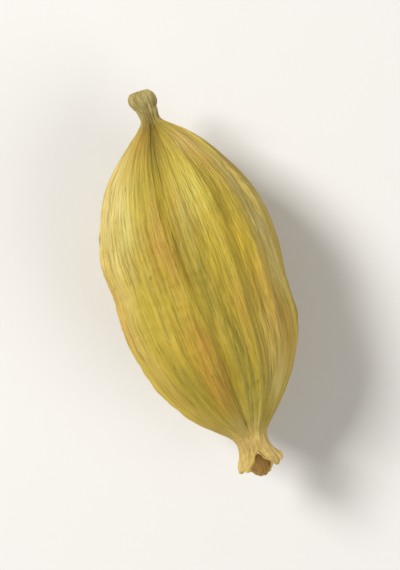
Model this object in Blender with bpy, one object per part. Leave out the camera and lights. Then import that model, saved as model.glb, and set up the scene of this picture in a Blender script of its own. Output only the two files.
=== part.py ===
"""A dried green cardamom pod, lying on its side and resting on a small flat spot.

The pod is one grown piece, so it is one closed solid: the three-valved husk, the stub of
its stalk at one end and the open remnant of the calyx at the other. It is a turned profile
along +X whose radius varies round the pod with the valves, their nerves and the seeds that
press from inside. The origin is the middle of the flat spot, and +Z is up.

Run it with: blender --background --python part.py
"""

import math
from typing import NamedTuple

import bmesh
import bpy
from mathutils import Vector, noise

MM = 0.001

# Distances along the pod are counted from the broken end of the stalk stub.
HUSK_START = 1.2 * MM
HUSK_END = 16.25 * MM
RIM_AT = 17.4 * MM

# The husk alone is a spindle: HUSK_RADIUS * (1 - |x| ** FULLNESS), x from -1 to 1.
HUSK_RADIUS = 3.75 * MM
FULLNESS = 2.9

# How the husk runs into its two slim ends: a higher power makes a tighter corner.
BLEND_POWER = 3.0

# The stalk stub: a slim neck that swells to a knob and leans to one side.
STUB_NECK_RADIUS = 0.45 * MM
STUB_KNOB_RADIUS = 0.64 * MM
STUB_KNOB_AT = 0.45 * MM
STUB_KNOB_REACH = 0.48 * MM
STUB_LEAN = 0.20 * MM
STUB_LEAN_LENGTH = 1.8 * MM

# The broken end of the stub, from its hollow middle out over its lip: how far along, and
# which share of the stub's radius.
STUB_HOLLOW_DEPTH = 0.20 * MM
STUB_LIP = ((0.16 * MM, 0.42), (0.05 * MM, 0.74), (0.05 * MM, 0.93))

# The calyx remnant: a short tube that flares to an open, uneven rim.
CALYX_NECK_RADIUS = 0.72 * MM
CALYX_RIM_RADIUS = 1.04 * MM
CALYX_FLARE_FROM = 16.2 * MM
CALYX_WALL = 0.24 * MM
CALYX_FLOOR_AT = 16.6 * MM
CALYX_FLOOR_RADIUS = 0.42 * MM
CALYX_LIFT = 0.25 * MM
CALYX_LIFT_LENGTH = 2.4 * MM

# The rim has three blunt teeth with a notch on top, and slants so that it opens upwards.
RIM_TOOTH = 0.16 * MM
RIM_SLANT = 0.24 * MM

# Three valves meet in furrows, and one furrow faces up. VALVE_SWELL is a share of the radius.
VALVES = 3
VALVE_SWELL = 0.036
FURROW_DEPTH = 0.14 * MM
FURROW_DEPTH_AT_ENDS = 0.28 * MM
FURROW_DEPTH_LIMIT = 0.3
FURROW_HALF_WIDTH = 0.42 * MM
FURROW_TURN = math.radians(-4)
FURROW_TWIST = math.radians(10)

# Raised nerves run from end to end on each valve, and each has its own strength.
NERVES_PER_VALVE = 6
NERVE_HEIGHT = 0.10 * MM
NERVE_SHARPNESS = 1.5
NERVE_STRENGTH = 0.72
NERVE_STRENGTH_SPREAD = 0.28
NERVE_STRENGTH_STEP = 2.4
NERVE_SHARE_AT_ENDS = 0.3
NERVE_WANDER = math.radians(4)
NERVE_WANDER_LENGTH = 6.0 * MM

# The seeds inside press shallow lumps into the dry husk.
LUMP_HEIGHT = 0.18 * MM
LUMP_SIZE = 2.7 * MM
LUMP_SEED = Vector((11.0, 1.6, 4.5))

# The relief is whole where the pod is at least this thick, and the stub and the calyx
# carry only a share of it.
FULL_RELIEF_RADIUS = 2.4 * MM
END_RELIEF = 0.6
CUP_RELIEF = 0.3

# The pod bows a little to one side and up at its ends, and is slightly wider than high.
BOW_LENGTH = 17.8 * MM
BOW_SIDEWAYS = 0.20 * MM
BOW_UP = 0.22 * MM
FLATTENING = 0.965

# The pod is pressed flat where it rests.
FLAT_SPOT_DEPTH = 0.20 * MM

# Points round the husk and round its slim ends, and rings along each stretch.
HUSK_POINTS = VALVES * NERVES_PER_VALVE * 6
END_POINTS = HUSK_POINTS // 2
HUSK_RINGS = 36
END_RINGS = 6

# The husk's rings stop short of its points and crowd towards its shoulders.
HUSK_RINGS_START_IN = 0.40 * MM
HUSK_RINGS_END_IN = 0.25 * MM
RING_CROWDING = 0.45

HUSK_COLOUR = (0.50, 0.42, 0.13, 1.0)
HUSK_ROUGHNESS = 0.62


class Ring(NamedTuple):
    """One ring of the profile. Relief and rim say how much of each the ring takes on."""

    along: float
    radius: float
    points: int
    relief: float
    rim: float


def clear_scene():
    for obj in list(bpy.data.objects):
        bpy.data.objects.remove(obj)


def smooth_step(value):
    value = min(max(value, 0.0), 1.0)
    return value * value * (3.0 - 2.0 * value)


def husk_outline(along):
    """Radius of the husk alone, 0 beyond its two points."""
    middle = (HUSK_START + HUSK_END) / 2
    share = abs(along - middle) / ((HUSK_END - HUSK_START) / 2)
    return HUSK_RADIUS * max(1.0 - share**FULLNESS, 0.0)


def stub_outline(along):
    """Radius of the stalk stub, with its knob."""
    swell = math.exp(-(((along - STUB_KNOB_AT) / STUB_KNOB_REACH) ** 2))
    return STUB_NECK_RADIUS + (STUB_KNOB_RADIUS - STUB_NECK_RADIUS) * swell


def calyx_outline(along):
    """Outer radius of the calyx tube, which flares towards its rim."""
    flare = smooth_step((along - CALYX_FLARE_FROM) / (RIM_AT - CALYX_FLARE_FROM))
    return CALYX_NECK_RADIUS + (CALYX_RIM_RADIUS - CALYX_NECK_RADIUS) * flare


def outline(along):
    """The whole profile: the husk blended with whichever end is nearer."""
    nearer_stub = along < (HUSK_START + HUSK_END) / 2
    end = stub_outline(along) if nearer_stub else calyx_outline(along)
    total = husk_outline(along) ** BLEND_POWER + end**BLEND_POWER
    return total ** (1.0 / BLEND_POWER)


def axis_point(along):
    """The bowed centre line, still without the height that sets the pod on the ground."""
    share = along / BOW_LENGTH
    stub_share = max(1.0 - along / STUB_LEAN_LENGTH, 0.0)
    calyx_share = max((along - RIM_AT) / CALYX_LIFT_LENGTH + 1.0, 0.0)
    sideways = -BOW_SIDEWAYS * math.sin(math.pi * share) - STUB_LEAN * stub_share**2
    up = BOW_UP * (2.0 * share - 1.0) ** 2 + CALYX_LIFT * calyx_share**2
    return Vector((along, sideways, up))


def valve_angle(along, angle):
    """Angle round the pod counted from the upper furrow, which twists along the pod."""
    return angle - FURROW_TURN - FURROW_TWIST * (along / BOW_LENGTH - 0.5)


def furrow_relief(along, angle, radius):
    """The grooves between the valves, deeper where the husk narrows to its ends."""
    spacing = math.tau / VALVES
    nearest = round(angle / spacing) * spacing
    off = (angle - nearest) * radius / FURROW_HALF_WIDTH
    slimness = 1.0 - smooth_step(radius / HUSK_RADIUS)
    depth = FURROW_DEPTH + (FURROW_DEPTH_AT_ENDS - FURROW_DEPTH) * slimness
    return -min(depth, FURROW_DEPTH_LIMIT * radius) * math.exp(-off * off)


def nerve_relief(along, angle):
    """The nerves, which wander a little on their way along the pod."""
    where = Vector((along / NERVE_WANDER_LENGTH, math.cos(angle), math.sin(angle)))
    angle += NERVE_WANDER * noise.noise(where)
    count = VALVES * NERVES_PER_VALVE
    phase = angle / math.tau * count
    crest = math.sin(math.pi * (phase % 1.0)) ** (2.0 * NERVE_SHARPNESS)
    which = math.floor(phase) % count
    spread = NERVE_STRENGTH_SPREAD * math.sin(NERVE_STRENGTH_STEP * which)
    return NERVE_HEIGHT * (NERVE_STRENGTH + spread) * crest


def lump_relief(point):
    return LUMP_HEIGHT * noise.noise(point / LUMP_SIZE + LUMP_SEED)


def surface_radius(ring, angle):
    """Radius at one point of a ring: the profile with the valves, nerves and lumps on it."""
    turned = valve_angle(ring.along, angle)
    fullness = smooth_step(ring.radius / FULL_RELIEF_RADIUS)
    nerve_share = NERVE_SHARE_AT_ENDS + (1.0 - NERVE_SHARE_AT_ENDS) * fullness
    around = Vector((0.0, math.sin(angle), math.cos(angle))) * ring.radius
    relief = -VALVE_SWELL * ring.radius * math.cos(VALVES * turned)
    relief += furrow_relief(ring.along, turned, ring.radius)
    relief += nerve_relief(ring.along, turned) * nerve_share
    relief += lump_relief(axis_point(ring.along) + around) * fullness
    return ring.radius + ring.relief * relief


def rim_offset(angle):
    """How far the calyx rim stands out or in along the pod, angle counted from the top."""
    return -RIM_TOOTH * math.cos(VALVES * angle) - RIM_SLANT * math.cos(angle)


def ring_points(ring):
    """The ring's points in order, counted from the top and turning towards +Y."""
    centre = axis_point(ring.along)
    points = []
    for step in range(ring.points):
        angle = math.tau * step / ring.points
        radius = surface_radius(ring, angle)
        across = radius * math.sin(angle)
        height = radius * math.cos(angle) * FLATTENING
        points.append(centre + Vector((rim_offset(angle) * ring.rim, across, height)))
    return points


def stub_rings():
    """From the hollow of the broken end, over its lip and along the neck to the husk."""
    edge = stub_outline(0.0)
    rings = [Ring(along, edge * share, END_POINTS, CUP_RELIEF, 0.0) for along, share in STUB_LIP]
    first = STUB_LIP[0][0]
    for step in range(END_RINGS):
        along = first + (HUSK_START - first) * step / (END_RINGS - 1)
        rings.append(Ring(along, outline(along), END_POINTS, END_RELIEF, 0.0))
    return rings


def husk_rings():
    """Rings from shoulder to shoulder of the husk."""
    first = HUSK_START + HUSK_RINGS_START_IN
    last = HUSK_END - HUSK_RINGS_END_IN
    rings = []
    for step in range(HUSK_RINGS):
        share = step / (HUSK_RINGS - 1)
        crowded = 0.5 - 0.5 * math.cos(math.pi * share)
        share += (crowded - share) * RING_CROWDING
        along = first + (last - first) * share
        rings.append(Ring(along, outline(along), HUSK_POINTS, 1.0, 0.0))
    return rings


def calyx_rings():
    """Up the outside of the tube, over its uneven rim and down to the floor of the cup."""
    outer_end = RIM_AT - CALYX_WALL / 2
    rings = []
    for step in range(END_RINGS):
        share = step / (END_RINGS - 1)
        along = HUSK_END + (outer_end - HUSK_END) * share
        rings.append(Ring(along, outline(along), END_POINTS, END_RELIEF, share**2))
    inside = CALYX_RIM_RADIUS - CALYX_WALL
    half_way = (CALYX_FLOOR_AT + RIM_AT) / 2
    half_radius = (CALYX_FLOOR_RADIUS + inside) / 2
    rings += [
        Ring(RIM_AT, CALYX_RIM_RADIUS - CALYX_WALL / 2, END_POINTS, CUP_RELIEF, 1.0),
        Ring(outer_end, inside, END_POINTS, CUP_RELIEF, 1.0),
        Ring(half_way, half_radius, END_POINTS, CUP_RELIEF, 0.3),
        Ring(CALYX_FLOOR_AT, CALYX_FLOOR_RADIUS, END_POINTS, 0.0, 0.0),
    ]
    return rings


def bridge(bm, near, far):
    """Faces between two rings. Where one has twice the points, each face takes two of them."""
    count = min(len(near), len(far))
    near_step = len(near) // count
    far_step = len(far) // count
    for index in range(count):
        side = [near[(index * near_step + k) % len(near)] for k in range(near_step + 1)]
        other = [far[(index * far_step + k) % len(far)] for k in range(far_step + 1)]
        bm.faces.new(side + other[::-1])


def close_end(bm, loop, middle):
    """A fan of triangles from the ring to a point in its middle."""
    centre = bm.verts.new(middle)
    for vert, following in zip(loop, loop[1:] + loop[:1]):
        bm.faces.new((vert, following, centre))


def turned_surface(bm):
    rings = stub_rings() + husk_rings() + calyx_rings()
    loops = [[bm.verts.new(point) for point in ring_points(ring)] for ring in rings]
    for near, far in zip(loops, loops[1:]):
        bridge(bm, near, far)
    close_end(bm, loops[0], axis_point(STUB_HOLLOW_DEPTH))
    close_end(bm, loops[-1], axis_point(CALYX_FLOOR_AT))
    bmesh.ops.recalc_face_normals(bm, faces=bm.faces)


def press_flat_spot(bm):
    """Sets the pod on z = 0, flattens its lowest points there and puts the origin under them."""
    lowest = min(vert.co.z for vert in bm.verts)
    for vert in bm.verts:
        vert.co.z = max(vert.co.z - lowest - FLAT_SPOT_DEPTH, 0.0)
    spot = [face for face in bm.faces if all(vert.co.z == 0.0 for vert in face.verts)]
    corners = {vert for face in spot for vert in face.verts}
    middle = sum((vert.co for vert in corners), Vector()) / len(corners)
    bmesh.ops.dissolve_faces(bm, faces=spot, use_verts=True)
    bmesh.ops.translate(bm, verts=bm.verts, vec=-middle)


def husk_material():
    material = bpy.data.materials.new("husk")
    material.use_nodes = True
    shader = material.node_tree.nodes["Principled BSDF"]
    shader.inputs["Base Color"].default_value = HUSK_COLOUR
    shader.inputs["Roughness"].default_value = HUSK_ROUGHNESS
    material.diffuse_color = HUSK_COLOUR
    return material


def build_pod():
    bm = bmesh.new()
    turned_surface(bm)
    press_flat_spot(bm)
    mesh = bpy.data.meshes.new("pod")
    bm.to_mesh(mesh)
    bm.free()
    mesh.shade_smooth()
    mesh.materials.append(husk_material())
    pod = bpy.data.objects.new("pod", mesh)
    bpy.context.scene.collection.objects.link(pod)
    return pod


def main():
    clear_scene()
    build_pod()


main()
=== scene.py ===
# %% [markdown]
# # A dried green cardamom pod
#
# The part is one pod, 18 mm long, that lies on a small flat spot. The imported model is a
# plain solid of the right shape and size. This file dresses it: it rebuilds the same shape
# with far more points, adds the fibres, creases and torn edges that a plain solid can't
# carry, and paints it with procedural materials. Nothing here is an image.
#
# The first step is always to load the frame, because every place and size comes from it.

# %% Load the frame
import math

import bpy
import numpy as np
from mathutils import Euler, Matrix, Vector, noise


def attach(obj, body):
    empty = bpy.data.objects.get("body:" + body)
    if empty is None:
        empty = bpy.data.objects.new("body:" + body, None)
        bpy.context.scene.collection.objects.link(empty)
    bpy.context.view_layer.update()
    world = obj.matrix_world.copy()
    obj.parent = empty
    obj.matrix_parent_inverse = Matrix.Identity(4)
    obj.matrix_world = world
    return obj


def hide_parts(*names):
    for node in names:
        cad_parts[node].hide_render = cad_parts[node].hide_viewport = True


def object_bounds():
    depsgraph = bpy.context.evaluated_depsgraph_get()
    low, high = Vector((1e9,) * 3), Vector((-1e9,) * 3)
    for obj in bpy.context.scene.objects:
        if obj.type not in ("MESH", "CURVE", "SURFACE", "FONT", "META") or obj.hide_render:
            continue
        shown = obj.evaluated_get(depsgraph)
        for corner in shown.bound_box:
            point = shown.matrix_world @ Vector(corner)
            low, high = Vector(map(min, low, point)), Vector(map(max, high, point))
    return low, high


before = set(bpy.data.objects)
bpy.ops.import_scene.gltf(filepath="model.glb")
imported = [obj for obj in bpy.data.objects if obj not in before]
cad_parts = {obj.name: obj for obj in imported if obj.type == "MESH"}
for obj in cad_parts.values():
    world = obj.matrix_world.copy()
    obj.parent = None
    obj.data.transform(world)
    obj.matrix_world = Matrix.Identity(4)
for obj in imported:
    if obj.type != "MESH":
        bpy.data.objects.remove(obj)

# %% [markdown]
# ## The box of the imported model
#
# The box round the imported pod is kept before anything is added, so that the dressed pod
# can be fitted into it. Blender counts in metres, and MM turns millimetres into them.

MM = 0.001
cad_low, cad_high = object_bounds()

# %% [markdown]
# ## Camera
#
# The pod lies down, so the camera looks straight down on it. Turning the camera, and not
# the pod, gives the slant of the photograph: stalk stub at the upper left, calyx at the
# lower right. A long lens far off keeps the outline free of perspective. Lens and sensor
# are in millimetres.

# %% Place the camera
LENS = 135.0
SENSOR = 36.0
NEAREST_SEEN = 0.1 * MM
POD_SLANT = math.radians(17.5)
POD_SHARE_OF_HEIGHT = 0.77


def place_object(name, data):
    """A new object in the scene, made of the given data."""
    made = bpy.data.objects.new(name, data)
    bpy.context.scene.collection.objects.link(made)
    return made


def camera_above(low, high):
    """A camera over the pod that sees it upright and slanted, at a set share of the height."""
    size = high - low
    upright = size.x * math.cos(POD_SLANT) + size.y * math.sin(POD_SLANT)
    seen_height = upright / POD_SHARE_OF_HEIGHT
    lens = bpy.data.cameras.new("camera")
    lens.lens = LENS
    lens.sensor_width = SENSOR
    lens.clip_start = NEAREST_SEEN
    camera = place_object("camera", lens)
    middle = (low + high) / 2
    camera.location = middle + Vector((0.0, 0.0, seen_height * LENS / SENSOR))
    camera.rotation_euler = (0.0, 0.0, math.radians(90) - POD_SLANT)
    bpy.context.scene.camera = camera
    return camera


camera = camera_above(cad_low, cad_high)
print("camera height, mm:", round(camera.location.z / MM, 1))

# %% [markdown]
# ## The outline
#
# A cardamom husk is a spindle. One power law gives it: the full radius times 1 minus x to
# the power of the fullness, with x from -1 at one tip to 1 at the other. The stub and the
# calyx tube have outlines of their own, and a power mean runs the husk into them with a
# soft corner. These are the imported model's own sizes, so the dressed pod keeps its shape.
# Distances along the pod count from the end of the stub.

# %% Outline of the husk and its two slim ends
HUSK_START = 1.2 * MM
HUSK_END = 16.25 * MM
HUSK_MIDDLE = (HUSK_START + HUSK_END) / 2
HUSK_RADIUS = 3.75 * MM
FULLNESS = 2.9
BLEND_POWER = 3.0

STUB_NECK_RADIUS = 0.45 * MM
STUB_KNOB_RADIUS = 0.64 * MM
STUB_KNOB_AT = 0.45 * MM
STUB_KNOB_REACH = 0.48 * MM
STUB_EDGE_AT = 0.05 * MM

CALYX_NECK_RADIUS = 0.72 * MM
CALYX_RIM_RADIUS = 1.04 * MM
CALYX_FLARE_FROM = 16.2 * MM
RIM_AT = 17.4 * MM


def smooth_step(value):
    """0 below 0, 1 above 1, and a soft slope between."""
    value = np.clip(value, 0.0, 1.0)
    return value * value * (3.0 - 2.0 * value)


def bell(off, half_width):
    """1 in the middle and softly down to 0 on both sides."""
    return np.exp(-((off / half_width) ** 2))


def husk_outline(along):
    """Radius of the husk alone, 0 beyond its two tips."""
    share = np.abs(along - HUSK_MIDDLE) / ((HUSK_END - HUSK_START) / 2)
    return HUSK_RADIUS * np.maximum(1.0 - share**FULLNESS, 0.0)


def stub_outline(along):
    """Radius of the stalk stub, which swells to a knob at its end."""
    swell = bell(along - STUB_KNOB_AT, STUB_KNOB_REACH)
    return STUB_NECK_RADIUS + (STUB_KNOB_RADIUS - STUB_NECK_RADIUS) * swell


def calyx_outline(along):
    """Outer radius of the calyx tube, which flares towards its rim."""
    flare = smooth_step((along - CALYX_FLARE_FROM) / (RIM_AT - CALYX_FLARE_FROM))
    return CALYX_NECK_RADIUS + (CALYX_RIM_RADIUS - CALYX_NECK_RADIUS) * flare


def outline(along):
    """The whole outline: the husk run into whichever end is nearer."""
    end = np.where(along < HUSK_MIDDLE, stub_outline(along), calyx_outline(along))
    return (husk_outline(along) ** BLEND_POWER + end**BLEND_POWER) ** (1.0 / BLEND_POWER)


print("widest, mm:", round(2 * float(outline(np.array(HUSK_MIDDLE))) / MM, 2))

# %% [markdown]
# ## A grid of points
#
# The pod is made as a grid: rings from end to end, and points round each ring. A grid
# keeps the grain of the husk in line with its faces, and every effect can be written as a
# formula of two numbers: how far along, and what turn round the pod.
#
# The rings start in the broken face of the stub, come over its lip and run the length of
# the skin. Each function below gives the distance along and the radius of its rings.

# %% Rings of the broken stub and of the skin
FACE_RINGS = 12
SKIN_RINGS = 246

FACE_MIDDLE_SHARE = 0.06
STUB_HOLLOW_DEPTH = 0.16 * MM
STUB_HOLLOW_SHARE = 0.8
STUB_LIP_SHARE = 0.84
STUB_LIP_ROUNDING = 0.24 * MM
CUP_WALL = 0.26 * MM
SKIN_END_AT = RIM_AT - CUP_WALL / 2


def broken_face_rings():
    """From the hollow middle of the broken stub out to its lip."""
    share = np.linspace(FACE_MIDDLE_SHARE, STUB_LIP_SHARE, FACE_RINGS, endpoint=False)
    hollow = STUB_HOLLOW_DEPTH * np.clip(1.0 - (share / STUB_HOLLOW_SHARE) ** 2, 0.0, 1.0)
    return STUB_EDGE_AT + hollow, stub_outline(0.0) * share


def skin_rings():
    """The whole outside, from the lip of the stub to the outer edge of the calyx rim."""
    along = np.linspace(STUB_EDGE_AT, SKIN_END_AT, SKIN_RINGS)
    past_lip = np.clip((along - STUB_EDGE_AT) / STUB_LIP_ROUNDING, 0.0, 1.0)
    rounding = 1.0 - (1.0 - STUB_LIP_SHARE) * (1.0 - past_lip) ** 2
    return along, outline(along) * rounding


print("skin, mm:", (np.ptp(skin_rings()[0]) / MM).round(2))

# %% [markdown]
# ## The rings go on into the cup
#
# The rings go on over the rim of the calyx, down inside it and across its floor. So skin,
# broken face and cup are one surface, as on the real pod, which grew in one piece. Each
# ring also gets a zone, which decides its material.

# %% Rings of the rim, the wall and the floor of the cup
POINTS_ROUND = 324
RIM_RINGS = 8
WALL_RINGS = 16
FLOOR_RINGS = 8

CUP_WALL_AT_FLOOR = 0.34 * MM
CUP_FLOOR_AT = 16.45 * MM
CUP_DISH = 0.05 * MM
CUP_NUB = 0.12 * MM
CUP_NUB_SHARE = 0.35

SKIN, BROKEN_FACE, CUP = 0, 1, 2


def rim_rings():
    """A half round over the thin edge of the calyx."""
    turn = np.linspace(0.0, math.pi, RIM_RINGS + 2)[1:-1]
    along = SKIN_END_AT + np.sin(turn) * CUP_WALL / 2
    radius = CALYX_RIM_RADIUS - CUP_WALL / 2 + np.cos(turn) * CUP_WALL / 2
    return along, radius


def wall_rings():
    """Down the inside of the calyx tube, whose wall thickens towards the floor."""
    along = np.linspace(SKIN_END_AT, CUP_FLOOR_AT, WALL_RINGS)
    down = (along[0] - along) / (along[0] - along[-1])
    wall = CUP_WALL + (CUP_WALL_AT_FLOOR - CUP_WALL) * down
    return along, calyx_outline(along) - wall


def floor_rings(edge_radius):
    """Across the floor of the cup to a low nub, where the flower's style broke off."""
    share = np.linspace(1.0, 0.0, FLOOR_RINGS + 2)[1:-1]
    nub = CUP_NUB * bell(share, CUP_NUB_SHARE)
    return CUP_FLOOR_AT - CUP_DISH * (1.0 - share) + nub, edge_radius * share


def all_rings():
    """Every ring's distance along, radius and zone, in order from stub to cup."""
    wall = wall_rings()
    stretches = [
        (broken_face_rings(), BROKEN_FACE),
        (skin_rings(), SKIN),
        (rim_rings(), SKIN),
        (wall, CUP),
        (floor_rings(wall[1][-1]), CUP),
    ]
    along = np.concatenate([rings[0] for rings, _ in stretches])
    radius = np.concatenate([rings[1] for rings, _ in stretches])
    zone = np.concatenate([np.full(len(rings[0]), zone) for rings, zone in stretches])
    return along[:, None], radius[:, None], zone


ring_along, ring_radius, ring_zone = all_rings()
angle = np.linspace(0.0, math.tau, POINTS_ROUND, endpoint=False)[None, :]
print("rings:", len(ring_zone), "points:", ring_along.size * POINTS_ROUND)

# %% [markdown]
# ## Bow and twist
#
# No pod is straight. The centre line bows a little to one side and up at both ends, the
# stub leans, and the valves twist round it by a few degrees. Both are small sums of simple
# curves.

# %% Centre line and twist
BOW_LENGTH = 17.8 * MM
BOW_SIDEWAYS = 0.20 * MM
BOW_UP = 0.22 * MM
STUB_LEAN = 0.20 * MM
STUB_LEAN_LENGTH = 1.8 * MM
CALYX_LIFT = 0.25 * MM
CALYX_LIFT_LENGTH = 2.4 * MM
FURROW_TURN = math.radians(-4)
FURROW_TWIST = math.radians(10)


def centre_line(along):
    """How far the middle of the pod lies to the side and up."""
    share = along / BOW_LENGTH
    stub_share = np.maximum(1.0 - along / STUB_LEAN_LENGTH, 0.0)
    calyx_share = np.maximum((along - RIM_AT) / CALYX_LIFT_LENGTH + 1.0, 0.0)
    sideways = -BOW_SIDEWAYS * np.sin(math.pi * share) - STUB_LEAN * stub_share**2
    up = BOW_UP * (2.0 * share - 1.0) ** 2 + CALYX_LIFT * calyx_share**2
    return sideways, up


ring_sideways, ring_up = centre_line(ring_along)
turned = angle - FURROW_TURN - FURROW_TWIST * (ring_along / BOW_LENGTH - 0.5)
print("bow, mm:", round(float(np.ptp(ring_sideways)) / MM, 2))

# %% [markdown]
# ## Smooth noise
#
# Living things are never quite even. Blender's own noise function gives a smooth random
# number for any place, and the same one every time. Places divided by a size give bumps
# of that size. A large size along the pod and a small one round it give long thin bumps:
# fibres. Noise is built on a grid of cells, whose rows can show where it is stretched, so
# the stretched noise is also turned to a slant.

# %% Noise over the grid
SLANT = (0.6, 0.8, 1.1)


def noise_over(points, size, seed):
    """Smooth noise, about -1 to 1, at every point; size is one number or one for each axis."""
    spots = (points / np.asarray(size) + np.asarray(seed)).reshape(-1, 3).tolist()
    values = np.fromiter((noise.noise(spot) for spot in spots), float, len(spots))
    return values.reshape(points.shape[:-1])


def stack_points(x, y, z):
    """Three grids, each allowed to be a row or a column, as one grid of points."""
    return np.stack(np.broadcast_arrays(x, y, z), axis=-1)


grown = stack_points(ring_along, HUSK_RADIUS * np.cos(turned), HUSK_RADIUS * np.sin(turned))
slant_matrix = np.array(Euler(SLANT).to_matrix())


def grain_noise(size, seed):
    """Noise that follows the grain of the straightened pod, stretched by its size."""
    return noise_over((grown / np.asarray(size)) @ slant_matrix, 1.0, seed)


print("straightened pod, mm:", (np.ptp(grown.reshape(-1, 3), axis=0) / MM).round(1))

# %% [markdown]
# ## Valves, nerves and seed lumps
#
# The husk is three valves that meet in furrows, and one furrow faces up. Each valve carries
# six raised nerves that run from end to end and crowd together at the tips. The seeds press
# shallow lumps into it from inside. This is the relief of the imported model.

# %% The large relief
VALVES = 3
VALVE_SWELL = 0.036
FURROW_DEPTH = 0.14 * MM
FURROW_DEPTH_AT_ENDS = 0.28 * MM
FURROW_DEPTH_LIMIT = 0.3
FURROW_HALF_WIDTH = 0.42 * MM

NERVES = 18
NERVE_HEIGHT = 0.10 * MM
NERVE_SHARPNESS = 1.5
NERVE_STRENGTH = 0.72
NERVE_STRENGTH_SPREAD = 0.28
NERVE_STRENGTH_STEP = 2.4
NERVE_SHARE_AT_ENDS = 0.3
NERVE_WANDER = math.radians(4)
NERVE_WANDER_LENGTH = 6.0 * MM

LUMP_HEIGHT = 0.18 * MM
LUMP_SIZE = 2.7 * MM
LUMP_SEED = (11.0, 1.6, 4.5)
FULL_RELIEF_RADIUS = 2.4 * MM

furrow_spacing = math.tau / VALVES
off_furrow = turned - np.round(turned / furrow_spacing) * furrow_spacing
slimness = 1.0 - smooth_step(ring_radius / HUSK_RADIUS)
furrow_depth = FURROW_DEPTH + (FURROW_DEPTH_AT_ENDS - FURROW_DEPTH) * slimness
furrow_depth = np.minimum(furrow_depth, FURROW_DEPTH_LIMIT * ring_radius)
furrow = bell(off_furrow * ring_radius, FURROW_HALF_WIDTH)

wander_spots = stack_points(ring_along / NERVE_WANDER_LENGTH, np.cos(turned), np.sin(turned))
wandered = turned + NERVE_WANDER * noise_over(wander_spots, 1.0, 0.0)
nerve_phase = wandered / math.tau * NERVES
nerve = np.sin(math.pi * (nerve_phase % 1.0)) ** (2.0 * NERVE_SHARPNESS)
strength_wave = np.sin(NERVE_STRENGTH_STEP * (np.floor(nerve_phase) % NERVES))
nerve_strength = NERVE_STRENGTH + NERVE_STRENGTH_SPREAD * strength_wave
fullness = smooth_step(ring_radius / FULL_RELIEF_RADIUS)
nerve_share = NERVE_SHARE_AT_ENDS + (1.0 - NERVE_SHARE_AT_ENDS) * fullness

lump_spots = stack_points(
    ring_along,
    ring_sideways + ring_radius * np.sin(angle),
    ring_up + ring_radius * np.cos(angle),
)
lumps = noise_over(lump_spots, LUMP_SIZE, LUMP_SEED)

large_relief = (
    -VALVE_SWELL * ring_radius * np.cos(VALVES * turned)
    - furrow_depth * furrow
    + NERVE_HEIGHT * nerve_strength * nerve * nerve_share
    + LUMP_HEIGHT * lumps * fullness
)
print("large relief, mm:", (np.ptp(large_relief) / MM).round(2))

# %% [markdown]
# ## Fibres and veins
#
# Between the nerves the dry skin is finely fibrous. Ridged noise makes fibres: 1 minus
# the size of the noise has a sharp crest wherever the noise crosses zero. Two layers of
# it are stretched along the pod. A sharp vein runs between the nerves, and fades in and
# out.

# %% The fine relief: fibres and veins
FIBRE_LAYERS = (
    # length, width and height of a fibre, and a seed
    (4.2 * MM, 0.52 * MM, 0.050 * MM, (3.1, 7.7, 1.9)),
    (2.4 * MM, 0.24 * MM, 0.028 * MM, (9.4, 2.6, 5.3)),
)
FIBRE_NARROWNESS = 2.4
FIBRE_SHARPNESS = 1.5
VEIN_HEIGHT = 0.055 * MM
VEIN_SHARPNESS = 14
VEIN_WANDER = 0.16
VEIN_WANDER_SIZE = (2.0 * MM, 0.9 * MM, 0.9 * MM)
VEIN_PATCH_SIZE = (3.0 * MM, 1.0 * MM, 1.0 * MM)


def patchy(size, seed, cover, contrast=1.0):
    """0 to 1 in soft patches: more cover brings more of 1, more contrast a harder edge."""
    return smooth_step(cover + contrast * grain_noise(size, seed))


fibre = np.zeros(grown.shape[:-1])
fine_relief = np.zeros(grown.shape[:-1])
for length, width, height, seed in FIBRE_LAYERS:
    ridges = 1.0 - FIBRE_NARROWNESS * np.abs(grain_noise((length, width, width), seed))
    ridges = np.clip(ridges, 0.0, 1.0) ** FIBRE_SHARPNESS
    fine_relief += height * (ridges - 1.0)
    fibre += ridges / len(FIBRE_LAYERS)

vein_wander = VEIN_WANDER * grain_noise(VEIN_WANDER_SIZE, (4.4, 1.2, 6.6))
vein = np.abs(np.sin(math.pi * (nerve_phase + vein_wander))) ** VEIN_SHARPNESS
vein = vein * patchy(VEIN_PATCH_SIZE, (0.3, 7.1, 2.8), cover=0.55, contrast=1.3)
fine_relief += VEIN_HEIGHT * (vein - 0.5)
print("fibres and veins, mm:", (np.ptp(fine_relief) / MM).round(3))

# %% [markdown]
# ## Wrinkles and seams
#
# In patches the skin has also shrunk lengthwise, into short cross wrinkles. Each furrow
# holds a seam, where the valves would part: a hairline crease with a low lip on each
# side. It wanders a little, and is plain in some places and faint in others.

# %% The fine relief: wrinkles and seams
WRINKLE_SIZE = (0.32 * MM, 0.85 * MM, 0.85 * MM)
WRINKLE_DEPTH = 0.036 * MM
WRINKLE_PATCH_SIZE = 2.6 * MM
SEAM_DEPTH = 0.035 * MM
SEAM_HALF_WIDTH = 0.075 * MM
SEAM_LIP = 0.025 * MM
SEAM_LIP_OUT = 0.20 * MM
SEAM_LIP_HALF_WIDTH = 0.10 * MM
SEAM_WANDER = 0.09 * MM
SEAM_WANDER_SIZE = 1.8 * MM
SEAM_PATCH_SIZE = 2.2 * MM

shrunk = patchy(WRINKLE_PATCH_SIZE, (6.2, 0.4, 3.3), cover=0.65, contrast=1.1)
wrinkles = grain_noise(WRINKLE_SIZE, (1.2, 4.8, 8.1))
fine_relief -= WRINKLE_DEPTH * shrunk * (0.5 + wrinkles)

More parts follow.
